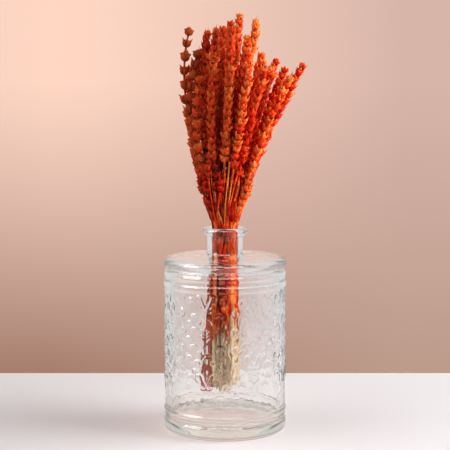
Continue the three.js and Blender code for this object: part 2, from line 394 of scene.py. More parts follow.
clear_selection()
bpy.ops.mesh.primitive_circle_add(vertices=VASE_SIDES, radius=PUNT[0] * MM, fill_type="TRIFAN")
vase = bpy.context.object
vase.name = "glass_vase"
bpy.ops.object.mode_set(mode="EDIT")
bpy.ops.transform.translate(value=(0, 0, PUNT[1] * MM))
shape = bmesh.from_edit_mesh(vase.data)
for vertex in shape.verts:
    vertex.select = False
for edge in shape.edges:
    edge.select = edge.is_boundary
shape.select_flush(True)
bmesh.update_edit_mesh(vase.data)
last_ring = PUNT
for ring in outside_low + outside_high:
    add_ring(last_ring, ring)
    last_ring = ring
bpy.ops.mesh.merge(type="CENTER")
bpy.ops.mesh.select_all(action="SELECT")
bpy.ops.mesh.normals_make_consistent(inside=False)

# The band that carries the lace is one tall ring of faces so far: its upright edges are cut evenly.
lace_floor = outside_low[-1][1] * MM
lace_ceiling = outside_high[0][1] * MM
bpy.ops.mesh.select_all(action="DESELECT")
bpy.ops.mesh.select_mode(type="EDGE")
shape = bmesh.from_edit_mesh(vase.data)
for edge in shape.edges:
    low, high = sorted(vertex.co.z for vertex in edge.verts)
    edge.select = abs(low - lace_floor) < SAME_HEIGHT and abs(high - lace_ceiling) < SAME_HEIGHT
bmesh.update_edit_mesh(vase.data)
bpy.ops.mesh.subdivide_edgering(
    number_cuts=LACE_RINGS, interpolation="LINEAR", smoothness=0, profile_shape_factor=0
)
bpy.ops.object.mode_set(mode="OBJECT")

# The lace: leaves, curls and small flowers in two upright patterns, which take turns round the wall.
# Each is drawn from its middle line, from the lowest motif to the highest. The mould gives its
# lines a low round back, and they fade out above the foot.
LACE_COLUMNS = 8
FIRST_COLUMN_DEG = -17.5
LACE_LINE_HALF_WIDTH = 0.85
LACE_RISE = 0.68
LINE_ROUNDNESS = 1.5
GROUND_DEPTH = 0.1
LACE_FADES_AT = 34.0
LACE_FULL_AT = 46.0
LEAST_LACE = 0.02
SKIN_WAVE_HEIGHT = 0.02
PEBBLE_HEIGHT = 0.022
GLASS_COLOUR = (0.98, 0.99, 0.985)
GLASS_ROUGHNESS = 0.02
GLASS_IOR = 1.5
GLASS_SHADOW = (0.77, 0.69, 0.665)
GLASS_TINT = (0.83, 0.79, 0.71)
GLASS_TINT_DENSITY = 12.0


def palmette(base, size):
    """A stem that forks into two arms with curled ends."""
    arm = [(0, base), (0.09 * size, base + 0.3 * size), (0.26 * size, base + 0.66 * size)]
    curl = arc(0.5 * size, base + 0.72 * size, 0.24 * size, 165, -70)
    return [arm + curl, arc(0.17 * size, base + 0.2 * size, 0.2 * size, 200, 330)]


def sprig(base, size):
    """An upright stalk with slanting leaves beside it."""
    lines = [[(0, base), (0, base + size)]]
    for share in (0.2, 0.5, 0.8):
        foot = base + share * size
        middle, tip = (0.32 * size, foot + 0.22 * size), (0.5 * size, foot + 0.24 * size)
        lines.append([(0.10 * size, foot), middle, tip])
    return lines


def rosette(height, size):
    """Six petals round a bare middle."""
    lines = []
    for petal in range(6):
        a = math.radians(30 + 60 * petal)
        inner = (0.35 * size * math.cos(a), height + 0.35 * size * math.sin(a))
        outer = (size * math.cos(a), height + size * math.sin(a))
        lines.append([inner, outer])
    return lines


def upright(height, length):
    return [[(0, height), (0, height + length)]]


def arch(height, size):
    return [arc(0, height, size, 0, 90, squash=0.8)]


def wings(height, out, size):
    """A pair of bowed leaves, one on each side."""
    return [arc(out, height, size, 160, 20, squash=0.8)]


def spirals(height, out, size):
    """A pair of tight curls, one on each side."""
    inner_turn = arc(out + 0.15 * size, height, 0.4 * size, -90, 120)
    return [arc(out, height, size, 200, -60) + inner_turn]


def dots(height, out):
    return [[(out, height), (out + 0.3, height + 0.6)]]


first_pattern = (
    palmette(106.5, 10.5) + dots(103, 3.0) + arch(93.5, 4.2) + sprig(80, 9) + upright(74, 2.6)
    + rosette(68.5, 4.2) + upright(62.5, 2.6) + wings(62, 7.5, 3.2) + upright(54, 3.4) + palmette(42, 12)
    + dots(38.5, 3.0) + arch(31, 4.4) + sprig(22, 7) + wings(88, 10.5, 3.0) + wings(99, 10.5, 2.6)
    + wings(74, 11.5, 3.0) + wings(50, 13.5, 3.0) + wings(34, 11.5, 3.2) + wings(25, 13, 2.6)
    + spirals(112, 14.0, 1.9) + spirals(93, 15.5, 2.2) + spirals(81, 16.0, 2.0) + spirals(66, 15.0, 2.3)
    + spirals(56, 9.5, 1.8) + spirals(43, 16.0, 2.1) + spirals(29, 16.5, 1.9)
)
second_pattern = (
    upright(109, 4) + palmette(98, 9) + wings(95, 6.8, 2.8) + wings(90, 5.0, 2.2) + arch(78.5, 3.6)
    + wings(76, 7.2, 3.0) + wings(71, 9.6, 2.8) + palmette(58, 11) + sprig(46, 8.5)
    + rosette(40, 4.0) + upright(33.5, 2.8) + palmette(22, 10) + wings(110, 9, 3.0)
    + wings(84, 12.5, 2.6) + wings(60, 13, 3.0) + wings(44, 10.5, 3.2) + wings(30, 12.5, 2.8)
    + spirals(103, 15.0, 2.1) + spirals(88, 16.5, 1.8) + spirals(74, 15.5, 2.2) + spirals(67, 5.5, 1.7)
    + spirals(52, 14.5, 2.1) + spirals(37, 15.0, 2.0) + spirals(24, 15.5, 1.7)
)


def distance_to_lines(across, height, lines):
    """How far each point is from the nearest line. The drawing's left half mirrors its right."""
    nearest = np.full(len(across), 99.0)
    for line in lines:
        for (x0, z0), (x1, z1) in zip(line, line[1:]):
            span = max((x1 - x0) ** 2 + (z1 - z0) ** 2, 1e-6)
            share = np.clip(((across - x0) * (x1 - x0) + (height - z0) * (z1 - z0)) / span, 0, 1)
            off = np.hypot(across - x0 - share * (x1 - x0), height - z0 - share * (z1 - z0))
            nearest = np.minimum(nearest, off)
    return nearest


def points_of(piece):
    points = np.empty(len(piece.data.vertices) * 3, np.float32)
    piece.data.vertices.foreach_get("co", points)
    return points.reshape(-1, 3)


def ramp(values, start, end):
    """0 at start and 1 at end, and held beyond both."""
    return np.clip((values - start) / (end - start), 0, 1)


points = points_of(vase) / MM
outer = np.hypot(points[:, 0], points[:, 1])
on_wall = (outer > BODY_RADIUS - 1) & (points[:, 2] > LACE_BOTTOM) & (points[:, 2] < LACE_TOP)
column_deg = 360 / LACE_COLUMNS
azimuth = np.degrees(np.arctan2(points[on_wall, 0], -points[on_wall, 1])) - FIRST_COLUMN_DEG
column = np.round(azimuth / column_deg)
across = np.abs(np.radians(azimuth - column * column_deg) * BODY_RADIUS)
height = points[on_wall, 2]
first = distance_to_lines(across, height, first_pattern)
second = distance_to_lines(across, height, second_pattern)
away = np.where(column % 2 == 0, first, second) / LACE_LINE_HALF_WIDTH
rise = LACE_RISE * np.clip(1 - away**2, 0, 1) ** LINE_ROUNDNESS - GROUND_DEPTH
rise *= np.maximum(ramp(height, LACE_FADES_AT, LACE_FULL_AT), LEAST_LACE)

# The skin between its lines is uneven too: two slow waves, and small pebbles over them.
round_wall = np.radians(azimuth) * BODY_RADIUS
rise += SKIN_WAVE_HEIGHT * np.sin(round_wall * 1.05 + 2.1 * np.sin(height * 0.31))
rise += SKIN_WAVE_HEIGHT * np.sin(height * 0.83 + 1.7 * np.sin(round_wall * 0.39 + 1))
rise += PEBBLE_HEIGHT * np.sin(round_wall * 1.9 + 1.6 * np.sin(height * 0.9)) * np.sin(
    height * 1.7 + 1.4 * np.sin(round_wall * 1.1)
)
points[on_wall, :2] *= 1 + (rise / outer[on_wall])[:, None]
vase.data.vertices.foreach_set("co", (points * MM).astype(np.float32).ravel())

glass = Finish(bpy.data.materials.new("clear_pressed_glass"))
clear_glass = glass.node(
    "BsdfPrincipled",
    None,
    {
        "Base Color": GLASS_COLOUR,
        "Roughness": GLASS_ROUGHNESS,
        "IOR": GLASS_IOR,
        "Transmission Weight": 1.0,
    },
)
lamp_light = glass.node("BsdfTransparent", None, {"Color": GLASS_SHADOW})
is_shadow = glass.node("LightPath", output="Is Shadow Ray")
surface = glass.node("MixShader", None, {"Fac": is_shadow, 1: clear_glass, 2: lamp_light})
body_tint = glass.node("VolumeAbsorption", None, {"Color": GLASS_TINT, "Density": GLASS_TINT_DENSITY})
vase.data.materials.append(glass.show(surface, body_tint))
for face in vase.data.polygons:
    face.use_smooth = True
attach(vase, "root")
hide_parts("vase")

# The flowering stems: dried ironwort, dyed orange. Each grew as one piece: a square stem with a cup
# of flowers at each joint, every cup turned a quarter from the one below it. They stand packed in the
# vase's neck and fan out above it, and none is fixed to another.
STEMS_IN_RING = [1, 6, 12, 18]
RING_PHASE_DEG = [0, 0, 15, 0]
PACKED_RADIUS = 9.45
PINCH_TOP = 163.0
PINCH_BOTTOM = 146.0
FAN_CENTRE_X = 12.0
FAN_HALF_WIDTH = 40.0
FAN_HALF_DEPTH = 37.0
FAN_POWER = 1.42
CURL_POWER = 3
LEFT_CURL = 45.0
DEPTH_CURL = 12.0
FOOT_MEAN_HEIGHT = 37.0
FOOT_RAGGEDNESS = 5.0
FOOT_SPREAD = 0.4
FOOT_TWIST_DEG = 32.0
FOOT_LEAN_X = -4.5
FOOT_POWER = 1.25
STEM_RADII = [(37.0, 1.45), (146.0, 1.42), (163.0, 1.42), (205.0, 0.95), (340.0, 0.7)]
SHORT_STEM_BELOW = 220.0
SHORT_STEM_REACH = 27.0
SPACED_LEFT_OF = -0.7
LEFTMOST_FROM = -0.95

# Each stem: the height of its tip, and the height above which it flowers, ring by ring, counted
# anticlockwise from the right. An optional third value moves its tip outwards.
STEMS = [
    [(338, 240)],
    [(334, 240), (312, 242), (333, 240), (328, 244), (327, 240), (316, 240)],
    [
        (297, 222), (308, 228), (322, 230), (330, 230), (328, 228), (325, 222),
        (306, 220), (312, 232), (318, 236), (308, 234), (300, 230), (292, 222),
    ],
    [
        (299, 200, 12), (296, 212), (303, 222), (303, 222), (314, 226), (320, 228),
        (315, 220), (311, 212), (297, 205), (327, 197), (309, 204, -5), (288, 210),
        (304, 224), (296, 232), (289, 228), (296, 222), (207, 178), (289, 206, 3),
    ],
]


class Ironwort:
    """One flowering stem: where it runs, and how thick it is."""

    def __init__(self, index, ring, place, tip_height, flowering_from, reach=0):
        turn = math.radians(360 * place / STEMS_IN_RING[ring] + RING_PHASE_DEG[ring])
        self.index = index
        self.ring = ring
        self.seat = (ring, place)
        self.outward = Vector((math.cos(turn), math.sin(turn))) * ring / (len(STEMS_IN_RING) - 1)
        self.tip_height = tip_height
        self.flowering_from = flowering_from
        self.neck = self.outward * PACKED_RADIUS
        u = self.outward
        if tip_height < SHORT_STEM_BELOW:
            self.tip = u * SHORT_STEM_REACH
            self.curl = Vector((0, 0))
        else:
            self.tip = Vector((FAN_CENTRE_X + FAN_HALF_WIDTH * u.x, FAN_HALF_DEPTH * u.y)) + u * reach
            self.curl = Vector((-LEFT_CURL * max(0, -u.x) ** 1.5, DEPTH_CURL * u.y))
        self.spaced = u.x < SPACED_LEFT_OF
        self.leftmost = u.x < LEFTMOST_FROM
        self.foot = FOOT_MEAN_HEIGHT + FOOT_RAGGEDNESS * (2 * self.chance(1) - 1)

    def chance(self, draw):
        """A repeatable number from 0 to 1."""
        value = math.sin(self.index * 127.1 + draw * 311.7 + 74.7) * 43758.5453
        return value - math.floor(value)

    def between(self, low, high, draw):
        return low + (high - low) * self.chance(draw)

    def centre(self, z):
        if z >= PINCH_TOP:
            t = (z - PINCH_TOP) / (self.tip_height - PINCH_TOP)
            at = self.neck + (self.tip - self.neck + self.curl) * t**FAN_POWER
            at -= self.curl * t**CURL_POWER
            return Vector((at.x, at.y, z))
        t = max(0, (PINCH_BOTTOM - z) / (PINCH_BOTTOM - FOOT_MEAN_HEIGHT)) ** FOOT_POWER
        at = self.neck * (1 + FOOT_SPREAD * t)
        at.rotate(Matrix.Rotation(math.radians(FOOT_TWIST_DEG) * t, 2))
        return Vector((at.x + FOOT_LEAN_X * t, at.y, z))

    def radius(self, z):
        for (low, thick), (high, thin) in zip(STEM_RADII, STEM_RADII[1:]):
            if z <= high:
                return thick + (thin - thick) * max(0, z - low) / (high - low)
        return STEM_RADII[-1][1]


stems = []
for ring, members in enumerate(STEMS):
    for place, member in enumerate(members):
        stems.append(Ironwort(len(stems), ring, place, *member))

# How the cups sit on a stem: crowded ones are narrower. On the left they stand apart with bare
# stem between them, and elsewhere each sits in the mouth of the one below it.
CUP_RADIUS = 4.3
CLOSE_CUP_RADIUS = 4.2
CUP_HEIGHT_TO_RADIUS = 2.1
LEAST_HEIGHT_SHARE = 0.8
CLEARANCE = 0.35
CROWDED_SHARE = 0.52
TAPER_FROM_TIP = [0.74, 0.9]
LEFTMOST_PITCH = 1.28
SPACED_PITCH = 1.0
CLOSE_PITCH = 0.68


def room_for_cup(stem, z):
    room = CUP_RADIUS
    for other in stems:
        if other is stem or z > other.tip_height + 2:
            continue
        away = (stem.centre(z) - other.centre(min(z, other.tip_height))).length
        if z > other.flowering_from - 6:
            free = away * CROWDED_SHARE
        else:
            free = away - other.radius(z)
        room = min(room, free - CLEARANCE)
    return room


def cups_of(stem):
    """Each cup's base height, radius and height, from the lowest to the highest."""
    cups = []
    top = stem.tip_height
    widest, pitch = CLOSE_CUP_RADIUS, CLOSE_PITCH
    if stem.spaced:
        widest, pitch = CUP_RADIUS, LEFTMOST_PITCH if stem.leftmost else SPACED_PITCH
    while top > stem.flowering_from:
        n = len(cups)
        taper = TAPER_FROM_TIP[n] if n < len(TAPER_FROM_TIP) else 1
        size = taper * stem.between(0.92, 1.08, 10 + n)
        middle = top - 0.5 * CUP_RADIUS * CUP_HEIGHT_TO_RADIUS
        radius = min(widest * size, room_for_cup(stem, middle))
        height = max(radius, LEAST_HEIGHT_SHARE * widest * taper) * CUP_HEIGHT_TO_RADIUS
        cups.append((top - height, radius, height))
        top -= height * pitch
    return cups[::-1]


# A bract: one of the two broad pointed leaves that hold a cup, worked a row at a time from a half
# ring of edges. It is modelled on a cup of radius 1. A row is its height, how far out its middle
# and its edges stand, and half its width.
BRACT_ROWS = [
    (0.00, 0.22, 0.02, 0.22),
    (0.20, 0.62, 0.05, 0.62),
    (0.62, 0.86, 0.10, 0.88),
    (1.15, 0.90, 0.24, 0.80),
    (1.62, 0.92, 0.56, 0.42),
    (2.10, 1.10, 1.06, 0.02),
]
BRACT_THICKNESS = 0.07
BRACT_MESH_SIDES = 12


def pick_vertices(piece, wanted):
    """Selects, in edit mode, the vertices for which wanted says yes."""
    shape = bmesh.from_edit_mesh(piece.data)
    for vertex in shape.verts:
        vertex.select = wanted(vertex.co)
    for edge in shape.edges:
        edge.select = all(vertex.select for vertex in edge.verts)
    for face in shape.faces:
        face.select = all(vertex.select for vertex in face.verts)
    bmesh.update_edit_mesh(piece.data)


def blade_model(name, mesh_sides, rows, thickness):
    """A pointed blade, drawn up row by row from a half ring of edges."""
    clear_selection()
    bpy.ops.mesh.primitive_circle_add(vertices=mesh_sides, radius=1)
    blade = bpy.context.object
    blade.name = name
    bpy.ops.object.mode_set(mode="EDIT")
    pick_vertices(blade, lambda at: at.x < -0.01)
    bpy.ops.mesh.delete(type="VERT")
    bpy.ops.mesh.select_all(action="SELECT")
    height, middle, edge, half_width = rows[0]
    bpy.ops.transform.resize(value=(middle - edge, half_width, 1), center_override=(0, 0, 0))
    bpy.ops.transform.translate(value=(edge, 0, 0))
    for row, lower in zip(rows[1:], rows):
        move = (row[2] - lower[2], 0, row[0] - lower[0])
        bpy.ops.mesh.extrude_region_move(TRANSFORM_OT_translate={"value": move})
        shares = ((row[1] - row[2]) / (lower[1] - lower[2]), row[3] / lower[3], 1)
        bpy.ops.transform.resize(value=shares, center_override=(row[2], 0, row[0]))
    bpy.ops.mesh.merge(type="CENTER")
    bpy.ops.mesh.select_all(action="SELECT")
    bpy.ops.mesh.normals_make_consistent(inside=False)
    bpy.ops.object.mode_set(mode="OBJECT")
    flesh = blade.modifiers.new("flesh", "SOLIDIFY")
    flesh.thickness = thickness
    flesh.offset = -1
    bpy.ops.object.modifier_apply(modifier="flesh")
    return blade


bract = blade_model("bract_model", BRACT_MESH_SIDES, BRACT_ROWS, BRACT_THICKNESS)

# A calyx: the ribbed, five-toothed husk of one flower, drawn up from a small disc and hollowed
# at its mouth. A ring is its radius and height.
CALYX_SIDES = 10
CALYX_RINGS = [(0.07, 0.0), (0.22, 0.42), (0.27, 0.84)]
CALYX_MOUTH = (0.15, 0.62)
CALYX_TOOTH_RISE = 0.2
CALYX_TOOTH_SPREAD = 1.25
CALYX_RIB = 1.14

clear_selection()
bpy.ops.mesh.primitive_circle_add(vertices=CALYX_SIDES, radius=CALYX_RINGS[0][0], fill_type="NGON")
calyx = bpy.context.object
calyx.name = "calyx_model"
bpy.ops.object.mode_set(mode="EDIT")
for lower, ring in zip(CALYX_RINGS, [*CALYX_RINGS[1:], CALYX_MOUTH]):
    add_ring(lower, ring, unit=1)


def on_rib(at):
    turns = math.atan2(at.x, at.y) / (2 * math.pi / (CALYX_SIDES / 2))
    return abs(turns - round(turns)) < 0.1


pick_vertices(calyx, lambda at: on_rib(at) and 0.2 < at.z < 0.75 and at.xy.length > 0.17)
bpy.ops.transform.resize(value=(CALYX_RIB, CALYX_RIB, 1), center_override=(0, 0, 0))
pick_vertices(calyx, lambda at: on_rib(at) and at.z > 0.82)
bpy.ops.transform.translate(value=(0, 0, CALYX_TOOTH_RISE))
bpy.ops.transform.resize(value=(CALYX_TOOTH_SPREAD, CALYX_TOOTH_SPREAD, 1), center_override=(0, 0, 0))
bpy.ops.mesh.select_all(action="SELECT")
bpy.ops.mesh.normals_make_consistent(inside=False)
bpy.ops.object.mode_set(mode="OBJECT")

# A leaf: a narrow pointed strip folded a little along its midrib. It is worked like a bract, with
# the same kind of rows, and is modelled 1 long, and as wide as 1 at its widest.
LEAF_ROWS = [
    (0.00, 0.05, 0.0, 0.14),
    (0.22, 0.17, 0.0, 0.43),
    (0.50, 0.20, 0.0, 0.48),
    (0.78, 0.12, 0.0, 0.28),
    (1.00, 0.01, 0.0, 0.02),
]
LEAF_THICKNESS = 0.07
LEAF_MESH_SIDES = 8

leaf = blade_model("leaf_model", LEAF_MESH_SIDES, LEAF_ROWS, LEAF_THICKNESS)

# A cup: bracts face to face, with three calyces in the lap of each. On the left stems two broad
# bracts hold it, and on the crowded ones a ring of narrower pointed scales does. Their sizes and
# tilts are given one after another, round the stem.
CUP_CALYCES = [
    # turn, tilt outwards, base out, base height, length
    (0, 15, 0.22, 0.42, 1.50),
    (58, 25, 0.24, 0.36, 1.50),
    (122, 23, 0.24, 0.40, 1.52),
    (180, 14, 0.22, 0.44, 1.52),
    (239, 26, 0.24, 0.34, 1.48),
    (301, 22, 0.24, 0.38, 1.50),
]
CUP_SCALES = [
    # turn, tilt outwards, base out, base height, length, width
    (8, 15, 0.34, 0.02, 2.25, 1.25),
    (78, 26, 0.38, 0.34, 1.80, 1.05),
    (150, 15, 0.34, 0.10, 2.15, 1.20),
    (221, 26, 0.38, 0.36, 1.75, 1.05),
    (292, 17, 0.34, 0.06, 2.25, 1.20),
]


def marked(piece, **marks):
    """Keeps numbers on the points of a piece, for its material to read."""
    for mark, value in marks.items():
        layer = piece.data.attributes.new(mark, "FLOAT", "POINT")
        layer.data.foreach_set("value", np.broadcast_to(value, len(layer.data)).astype(np.float32))
    return piece


def marked_copy(model, matrix, **marks):
    """A marked copy of a model, with its place in its own mesh."""
    copy = bpy.data.objects.new(model.name, model.data.copy())
    bpy.context.collection.objects.link(copy)
    copy.data.transform(matrix)
    return marked(copy, **marks)


def joined(pieces):
    clear_selection()
    for piece in pieces:
        piece.select_set(True)
    bpy.context.view_layer.objects.active = pieces[0]
    bpy.ops.object.join()
    return bpy.context.object


def heights_of(piece):
    return points_of(piece)[:, 2]


def leaning(turn_deg, tilt_deg, out, base):
    """A place in a cup that leans outwards from its middle line."""
    return (
        Matrix.Rotation(math.radians(turn_deg), 4, "Z")
        @ Matrix.Translation((out, 0, base))
        @ Matrix.Rotation(math.radians(tilt_deg), 4, "Y")
    )


def cup_model(name, holders):
    """A cup whose calyces stand in the holders: bracts or scales."""
    parts = list(holders)
    for turn, tilt, out, base, length in CUP_CALYCES:
        place = leaning(turn, tilt, out, base) @ Matrix.Scale(length, 4)
        parts.append(marked_copy(calyx, place, toward_tip=heights_of(calyx), flower=1))
    model = joined(parts)
    model.name = name
    return model


bracts = []
for turn in (0, 180):
    place = Matrix.Rotation(math.radians(turn), 4, "Z")
    bracts.append(marked_copy(bract, place, toward_tip=heights_of(bract) / BRACT_ROWS[-1][0], flower=0))
scales = []
for turn, tilt, out, base, length, width in CUP_SCALES:
    place = leaning(turn, tilt, out, base) @ Matrix.Diagonal((width, width, length, 1))
    scales.append(marked_copy(leaf, place, toward_tip=heights_of(leaf), flower=0))
broad_cup = cup_model("broad_cup_model", bracts)
rough_cup = cup_model("rough_cup_model", scales)

# A stem: square with softened corners, a little wavy, and swollen at each joint. It is thin up to its
# flowers, except where it shows bright through the vase, and some end in a bristle above the last cup.
STEM_STEP = 4.0
STEM_WOBBLE = 0.3
SWAY_IN_FLOWER = 0.3
STEM_FLAT_SHARE = 0.94
THIN_STEM_SHARE = 0.62
THICKENS_FROM = 185.0
THICKENS_OVER = 100.0
NODE_SWELL = 1.25
BRISTLE = 2.2
BRISTLED_SHARE = 0.4
TIP_LENGTH = 3.0
TIP_SHARE = 0.35
TIP_END_RADIUS = 0.14
# Ring and place of those that show bright.
BRIGHT_IN_VASE = [(3, 11), (3, 15), (3, 16), (2, 9)]

profile_points = []
for i in range(8):
    a = math.radians(45 * i + 22.5)
    flat = 1.0 if i % 2 else STEM_FLAT_SHARE
    profile_points.append((math.cos(a) * flat, math.sin(a) * flat))
profile_curve = bpy.data.curves.new("square_stem", "CURVE")
profile_curve.dimensions = "2D"
outline = profile_curve.splines.new("POLY")
outline.points.add(len(profile_points) - 1)
for point, (x, y) in zip(outline.points, profile_points):
    point.co = (x * MM, y * MM, 0, 1)
outline.use_cyclic_u = True
square_stem = bpy.data.objects.new("square_stem", profile_curve)
bpy.context.collection.objects.link(square_stem)


def stem_mesh(name, path):
    """A tube along path, whose points are (centre, radius)."""
    curve = bpy.data.curves.new(name, "CURVE")
    curve.dimensions = "3D"
    curve.bevel_mode = "OBJECT"
    curve.bevel_object = square_stem
    curve.use_fill_caps = True
    line = curve.splines.new("POLY")
    line.points.add(len(path) - 1)
    for point, (centre, radius) in zip(line.points, path):
        point.co = (*(centre * MM), 1)
        point.radius = radius
    tube = bpy.data.objects.new(name, curve)
    bpy.context.collection.objects.link(tube)
    clear_selection()
    tube.select_set(True)
    bpy.context.view_layer.objects.active = tube
    bpy.ops.object.convert(target="MESH")
    return bpy.context.object


def dyed_stem(stem, cups):
    """The stem itself, up to its last cup or a bristle above it."""
    top = stem.tip_height - 1.0
    if stem.chance(5) < BRISTLED_SHARE:
        top = stem.tip_height + BRISTLE
    joints = [base for base, radius, height in cups]
    path = []
    z = stem.foot
    while z < top:
        wobble = STEM_WOBBLE * min(1, abs(z - (PINCH_TOP + PINCH_BOTTOM) / 2) / 30)
        sway = Vector((math.sin(z / 9 + 6 * stem.index), math.cos(z / 11 + 4 * stem.index), 0)) * wobble
        thickening = THIN_STEM_SHARE + (z - THICKENS_FROM) / THICKENS_OVER
        radius = stem.radius(z) * min(1, max(THIN_STEM_SHARE, thickening))
        if z < PINCH_BOTTOM and stem.seat in BRIGHT_IN_VASE:
            radius = stem.radius(z)
        if z > PINCH_TOP and any(abs(z - joint) < STEM_STEP / 2 for joint in joints):
            radius *= NODE_SWELL
        if z > stem.tip_height - TIP_LENGTH:
            radius *= TIP_SHARE
        if z > stem.flowering_from:
            sway *= SWAY_IN_FLOWER
        path.append((stem.centre(z) + sway, radius))
        z += STEM_STEP
    path.append((stem.centre(top), TIP_END_RADIUS))
    return stem_mesh("stem", path)


# How the stems took the dye: some are bright and some dark inside the vase, and the right part of the
# bunch is bare straw at its foot. The rest are a little darker inside the vase, and all are darker where
# the neck squeezes them: both of these are painted shade.
DARK_IN_VASE = [(3, 12), (3, 13), (2, 7), (2, 8), (3, 10)]
BRIGHT_IN_VASE_TONE = 0.42
DARK_IN_VASE_TONE = -0.5
OTHERS_IN_VASE_SHADE = -0.04
NECK_MIDDLE = 154.0
NECK_SHADE = 0.65
STRAW_FROM = 84.0
STRAW_VARIES = 16.0
STRAW_BLENDS_OVER = 8.0
STRAW_RIGHT_OF = -9.0
STRAW_JUDGED_AT = 60.0


def vase_tone(stem):
    """How much lighter or darker than above it a stem is inside the vase: dyed so on some stems, and
    painted shade on the rest.
    """
    if stem.seat in BRIGHT_IN_VASE:
        return BRIGHT_IN_VASE_TONE
    if stem.seat in DARK_IN_VASE:
        return DARK_IN_VASE_TONE
    return OTHERS_IN_VASE_SHADE


def straw_share(stem, heights):
    """How far a stem is undyed at some heights."""
    straw_from = STRAW_FROM + STRAW_VARIES * (stem.chance(6) - 0.5)
    is_right = stem.centre(STRAW_JUDGED_AT).x > STRAW_RIGHT_OF
    return ramp(heights, straw_from, straw_from - STRAW_BLENDS_OVER) * is_right


def dyed_and_shaded_along(piece, stem, tone, toward_tip):
    """Marks the dye along a stem's mesh, with painted shade in the neck and inside the vase. Tone is that
    of its part above the vase.
    """
    heights = heights_of(piece) / MM
    # Painted shade: darker inside the vase and where the neck squeezes the stems.
    in_vase = ramp(heights, LIP_TOP + 6, LIP_TOP - 6)
    in_neck = ramp(abs(heights - NECK_MIDDLE), 13, 7)
    return marked(
        piece,
        tone=tone + vase_tone(stem) * in_vase - NECK_SHADE * in_neck,
        undyed=straw_share(stem, heights),
        toward_tip=toward_tip,
        flower=0,
    )


# How a cup and a leaf sit on a stem. Both are copies of the models, turned along their stem there.
LEAF_FOOT_OUT = 0.7


def axes_round(line):
    """Three directions: two across a line, and the one along it."""
    along = line.normalized()
    across = (Vector((1, 0, 0)) - along * along.x).normalized()
    return across, along.cross(across), along


def axes_at(stem, z):
    return axes_round(stem.centre(z + 2) - stem.centre(z - 2))


def outward_turn(stem, z):
    """The turn about the stem that points away from the middle of the bunch."""
    across, deep, along = axes_at(stem, z)
    away = stem.outward.to_3d()
    return math.atan2(away.dot(deep), away.dot(across))


def cup_on(stem, base, radius, height, turn, closing, tone, model=broad_cup, lean_deg=0):
    """A cup standing on its stem. Closing draws its points together, as in a bud."""
    lean_axis = Vector((math.cos(5 * turn), math.sin(5 * turn), 0))
    place = (
        Matrix.Rotation(math.radians(lean_deg), 4, lean_axis)
        @ Matrix.Rotation(turn, 4, "Z")
        @ Matrix.Diagonal((radius, radius, height / CUP_HEIGHT_TO_RADIUS, 1))
    )
    piece = marked_copy(model, place, tone=tone, undyed=0)
    points = points_of(piece)
    points[:, :2] *= 1 - closing * np.clip(points[:, 2:3] / height, 0, 1) ** 2
    axes = np.array(axes_round(stem.centre(base + height) - stem.centre(base)))
    points = (points @ axes + np.array(stem.centre(base))) * MM
    piece.data.vertices.foreach_set("co", points.astype(np.float32).ravel())
    return piece


def leaf_on(stem, z, turn, tilt_deg, length, width, tone, undyed=0, slant_deg=0):
    """A leaf that leaves its stem at a height, towards one side of it."""
    place = (
        Matrix.Translation(stem.centre(z) * MM)
        @ Matrix(axes_at(stem, z)).transposed().to_4x4()
        @ Matrix.Rotation(turn, 4, "Z")
        @ Matrix.Translation((stem.radius(z) * LEAF_FOOT_OUT * MM, 0, 0))
        @ Matrix.Rotation(math.radians(slant_deg), 4, "X")
        @ Matrix.Rotation(math.radians(tilt_deg), 4, "Y")
        @ Matrix.Diagonal((width * MM, width * MM, length * MM, 1))
    )
    return marked_copy(leaf, place, tone=tone, undyed=undyed, toward_tip=heights_of(leaf), flower=0)


# Side stems: thin ones that rise beside each stem but the middle one, and run aslant over their
# neighbours above the lip. Many at the left end in two small dark cups.
SIDE_STEM_REACHES = [212.0, 198.0, 182.0]
SIDE_STEM_REACH_VARIES = 26.0
SIDE_STEM_RADIUS = 0.62
SIDE_STEM_GAP = 1.15
SIDE_STEM_DRIFT = 11.0
RIGHT_SIDE_STEMS_END = 190.0
SIDE_CUPS_SHARE = 0.6
SIDE_CUPS_LEFT_OF = -0.45
SIDE_CUP_TONE = 0.36
SIDE_CUP_HEIGHT = 7.0


